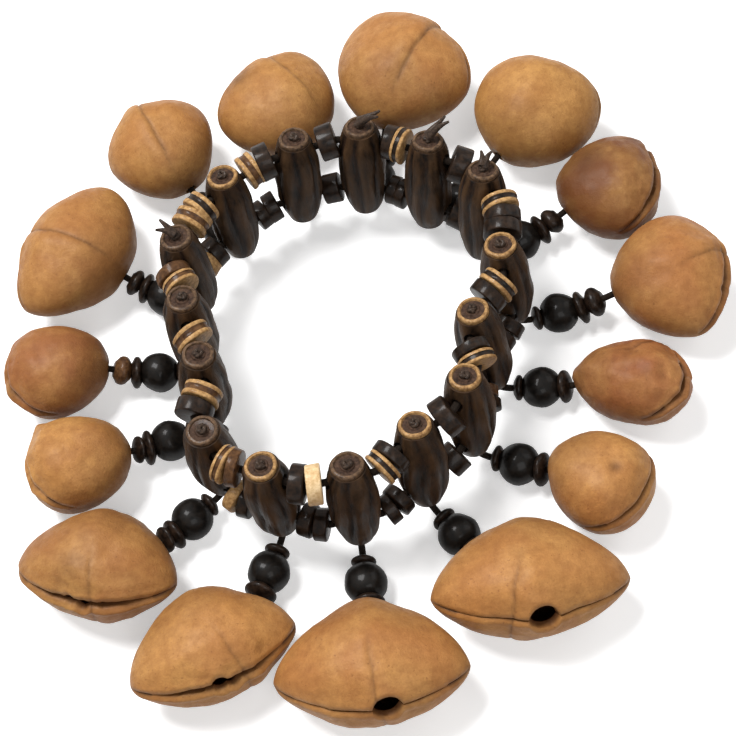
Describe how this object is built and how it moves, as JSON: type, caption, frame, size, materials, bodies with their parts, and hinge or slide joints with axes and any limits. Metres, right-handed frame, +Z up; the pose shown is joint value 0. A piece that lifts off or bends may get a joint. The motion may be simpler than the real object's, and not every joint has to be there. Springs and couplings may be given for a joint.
{
  "type": "shaker bracelet",
  "caption": "Rattle bracelet: hollow slit seed shells hang on beaded cords from a ring of ribbed wooden barrels threaded on elastic strands.",
  "frame": {"origin": "on the table, in the middle of the space that the bracelet covers", "axes": "+Z up, along the barrels and through the wrist opening; -Y towards the viewer of the picture"},
  "size_m": [0.144, 0.153, 0.0297],
  "materials": {
    "barrel_wood": "very dark brown ribbed wood, matte, worn paler on the ribs",
    "dark_beads": "near black polished beads on dark cord",
    "seed_shell": "tan dried seed shell, wrinkled, soft satin sheen",
    "spacer_discs": "dark brown discs of coconut shell with some pale edges, satin"
  },
  "bodies": {
    "ring": {"barrel_01": "barrel_wood", "barrel_02": "barrel_wood", "barrel_03": "barrel_wood", "barrel_04": "barrel_wood", "barrel_05": "barrel_wood", "barrel_06": "barrel_wood", "barrel_07": "barrel_wood", "barrel_08": "barrel_wood", "barrel_09": "barrel_wood", "barrel_10": "barrel_wood", "barrel_11": "barrel_wood", "barrel_12": "barrel_wood", "barrel_13": "barrel_wood", "barrel_14": "barrel_wood", "barrel_15": "barrel_wood", "lower_strand": "spacer_discs", "upper_strand": "spacer_discs"},
    "string_01": {"bead_string_01": "dark_beads"},
    "seed_01": {"seed_shell_01": "seed_shell"},
    "string_02": {"bead_string_02": "dark_beads"},
    "seed_02": {"seed_shell_02": "seed_shell"},
    "string_03": {"bead_string_03": "dark_beads"},
    "seed_03": {"seed_shell_03": "seed_shell"},
    "string_04": {"bead_string_04": "dark_beads"},
    "seed_04": {"seed_shell_04": "seed_shell"},
    "string_05": {"bead_string_05": "dark_beads"},
    "seed_05": {"seed_shell_05": "seed_shell"},
    "string_06": {"bead_string_06": "dark_beads"},
    "seed_06": {"seed_shell_06": "seed_shell"},
    "string_07": {"bead_string_07": "dark_beads"},
    "seed_07": {"seed_shell_07": "seed_shell"},
    "string_08": {"bead_string_08": "dark_beads"},
    "seed_08": {"seed_shell_08": "seed_shell"},
    "string_09": {"bead_string_09": "dark_beads"},
    "seed_09": {"seed_shell_09": "seed_shell"},
    "string_10": {"bead_string_10": "dark_beads"},
    "seed_10": {"seed_shell_10": "seed_shell"},
    "string_11": {"bead_string_11": "dark_beads"},
    "seed_11": {"seed_shell_11": "seed_shell"},
    "string_12": {"bead_string_12": "dark_beads"},
    "seed_12": {"seed_shell_12": "seed_shell"},
    "string_13": {"bead_string_13": "dark_beads"},
    "seed_13": {"seed_shell_13": "seed_shell"},
    "string_14": {"bead_string_14": "dark_beads"},
    "seed_14": {"seed_shell_14": "seed_shell"},
    "string_15": {"bead_string_15": "dark_beads"},
    "seed_15": {"seed_shell_15": "seed_shell"}
  },
  "joints": [
    {"name": "string_01_swing", "type": "hinge", "parent": "ring", "child": "string_01", "pos_m": [-0.02189, -0.0343, 0.00494], "axis": [-0.8829, 0.4695, 0], "range_deg": [-28, 12]},
    {"name": "seed_01_nod", "type": "hinge", "parent": "string_01", "child": "seed_01", "pos_m": [-0.02956, -0.04873, 0.00584], "axis": [-0.8829, 0.4695, 0], "range_deg": [-10, 10]},
    {"name": "string_02_swing", "type": "hinge", "parent": "ring", "child": "string_02", "pos_m": [-0.00826, -0.03949, 0.00495], "axis": [-0.9976, 0.0698, 0], "range_deg": [-28, 12]},
    {"name": "seed_02_nod", "type": "hinge", "parent": "string_02", "child": "seed_02", "pos_m": [-0.00938, -0.05542, 0.00568], "axis": [-0.9976, 0.0698, 0], "range_deg": [-10, 10]},
    {"name": "string_03_swing", "type": "hinge", "parent": "ring", "child": "string_03", "pos_m": [0.00553, -0.0349, 0.00496], "axis": [-0.8829, -0.4695, 0], "range_deg": [-28, 12]},
    {"name": "seed_03_nod", "type": "hinge", "parent": "string_03", "child": "seed_03", "pos_m": [0.01302, -0.04901, 0.00569], "axis": [-0.8829, -0.4695, 0], "range_deg": [-10, 10]},
    {"name": "string_04_swing", "type": "hinge", "parent": "ring", "child": "string_04", "pos_m": [0.01616, -0.0267, 0.00495], "axis": [-0.515, -0.8572, 0], "range_deg": [-28, 12]},
    {"name": "seed_04_nod", "type": "hinge", "parent": "string_04", "child": "seed_04", "pos_m": [0.03001, -0.03502, 0.00577], "axis": [-0.515, -0.8572, 0], "range_deg": [-10, 10]},
    {"name": "string_05_swing", "type": "hinge", "parent": "ring", "child": "string_05", "pos_m": [0.02311, -0.01397, 0.00496], "axis": [-0.2588, -0.9659, 0], "range_deg": [-28, 12]},
    {"name": "seed_05_nod", "type": "hinge", "parent": "string_05", "child": "seed_05", "pos_m": [0.03871, -0.01816, 0.00578], "axis": [-0.2588, -0.9659, 0], "range_deg": [-10, 10]},
    {"name": "string_06_swing", "type": "hinge", "parent": "ring", "child": "string_06", "pos_m": [0.03008, -0.00046, 0.00495], "axis": [-0.0349, -0.9994, 0], "range_deg": [-28, 12]},
    {"name": "seed_06_nod", "type": "hinge", "parent": "string_06", "child": "seed_06", "pos_m": [0.05009, -0.00116, 0.00765], "axis": [-0.0349, -0.9994, 0], "range_deg": [-10, 10]},
    {"name": "string_07_swing", "type": "hinge", "parent": "ring", "child": "string_07", "pos_m": [0.02712, 0.01567, 0.00497], "axis": [0.2588, -0.9659, 0], "range_deg": [-28, 12]},
    {"name": "seed_07_nod", "type": "hinge", "parent": "string_07", "child": "seed_07", "pos_m": [0.04593, 0.02072, 0.00741], "axis": [0.2588, -0.9659, 0], "range_deg": [-10, 10]},
    {"name": "string_08_swing", "type": "hinge", "parent": "ring", "child": "string_08", "pos_m": [0.0183, 0.02596, 0.00496], "axis": [0.5519, -0.8339, 0], "range_deg": [-28, 12]},
    {"name": "seed_08_nod", "type": "hinge", "parent": "string_08", "child": "seed_08", "pos_m": [0.03596, 0.03766, 0.00823], "axis": [0.5519, -0.8339, 0], "range_deg": [-10, 10]},
    {"name": "string_09_swing", "type": "hinge", "parent": "ring", "child": "string_09", "pos_m": [0.00634, 0.03304, 0.00495], "axis": [0.9205, -0.3907, 0], "range_deg": [-28, 12]},
    {"name": "seed_09_nod", "type": "hinge", "parent": "string_09", "child": "seed_09", "pos_m": [0.01399, 0.05106, 0.00744], "axis": [0.9205, -0.3907, 0], "range_deg": [-10, 10]},
    {"name": "string_10_swing", "type": "hinge", "parent": "ring", "child": "string_10", "pos_m": [-0.00688, 0.03427, 0.00495], "axis": [0.9998, -0.0175, 0], "range_deg": [-28, 12]},
    {"name": "seed_10_nod", "type": "hinge", "parent": "string_10", "child": "seed_10", "pos_m": [-0.00659, 0.0506, 0.00585], "axis": [0.9998, -0.0175, 0], "range_deg": [-10, 10]},
    {"name": "string_11_swing", "type": "hinge", "parent": "ring", "child": "string_11", "pos_m": [-0.02059, 0.02871, 0.00494], "axis": [0.8965, 0.4431, 0], "range_deg": [-28, 12]},
    {"name": "seed_11_nod", "type": "hinge", "parent": "string_11", "child": "seed_11", "pos_m": [-0.02926, 0.04625, 0.00743], "axis": [0.8965, 0.4431, 0], "range_deg": [-10, 10]},
    {"name": "string_12_swing", "type": "hinge", "parent": "ring", "child": "string_12", "pos_m": [-0.03056, 0.01765, 0.00494], "axis": [0.5621, 0.8271, 0], "range_deg": [-28, 12]},
    {"name": "seed_12_nod", "type": "hinge", "parent": "string_12", "child": "seed_12", "pos_m": [-0.04563, 0.02789, 0.00676], "axis": [0.5621, 0.8271, 0], "range_deg": [-10, 10]},
    {"name": "string_13_swing", "type": "hinge", "parent": "ring", "child": "string_13", "pos_m": [-0.03251, 0.00367, 0.00494], "axis": [0.1564, 0.9877, 0], "range_deg": [-28, 12]},
    {"name": "seed_13_nod", "type": "hinge", "parent": "string_13", "child": "seed_13", "pos_m": [-0.05148, 0.00667, 0.00724], "axis": [0.1564, 0.9877, 0], "range_deg": [-10, 10]},
    {"name": "string_14_swing", "type": "hinge", "parent": "ring", "child": "string_14", "pos_m": [-0.03219, -0.00884, 0.00494], "axis": [-0.2079, 0.9781, 0], "range_deg": [-28, 12]},
    {"name": "seed_14_nod", "type": "hinge", "parent": "string_14", "child": "seed_14", "pos_m": [-0.04913, -0.01244, 0.00633], "axis": [-0.2079, 0.9781, 0], "range_deg": [-10, 10]},
    {"name": "string_15_swing", "type": "hinge", "parent": "ring", "child": "string_15", "pos_m": [-0.03146, -0.0233, 0.00493], "axis": [-0.5664, 0.8241, 0], "range_deg": [-28, 12]},
    {"name": "seed_15_nod", "type": "hinge", "parent": "string_15", "child": "seed_15", "pos_m": [-0.04596, -0.03327, 0.00645], "axis": [-0.5664, 0.8241, 0], "range_deg": [-10, 10]}
  ]
}
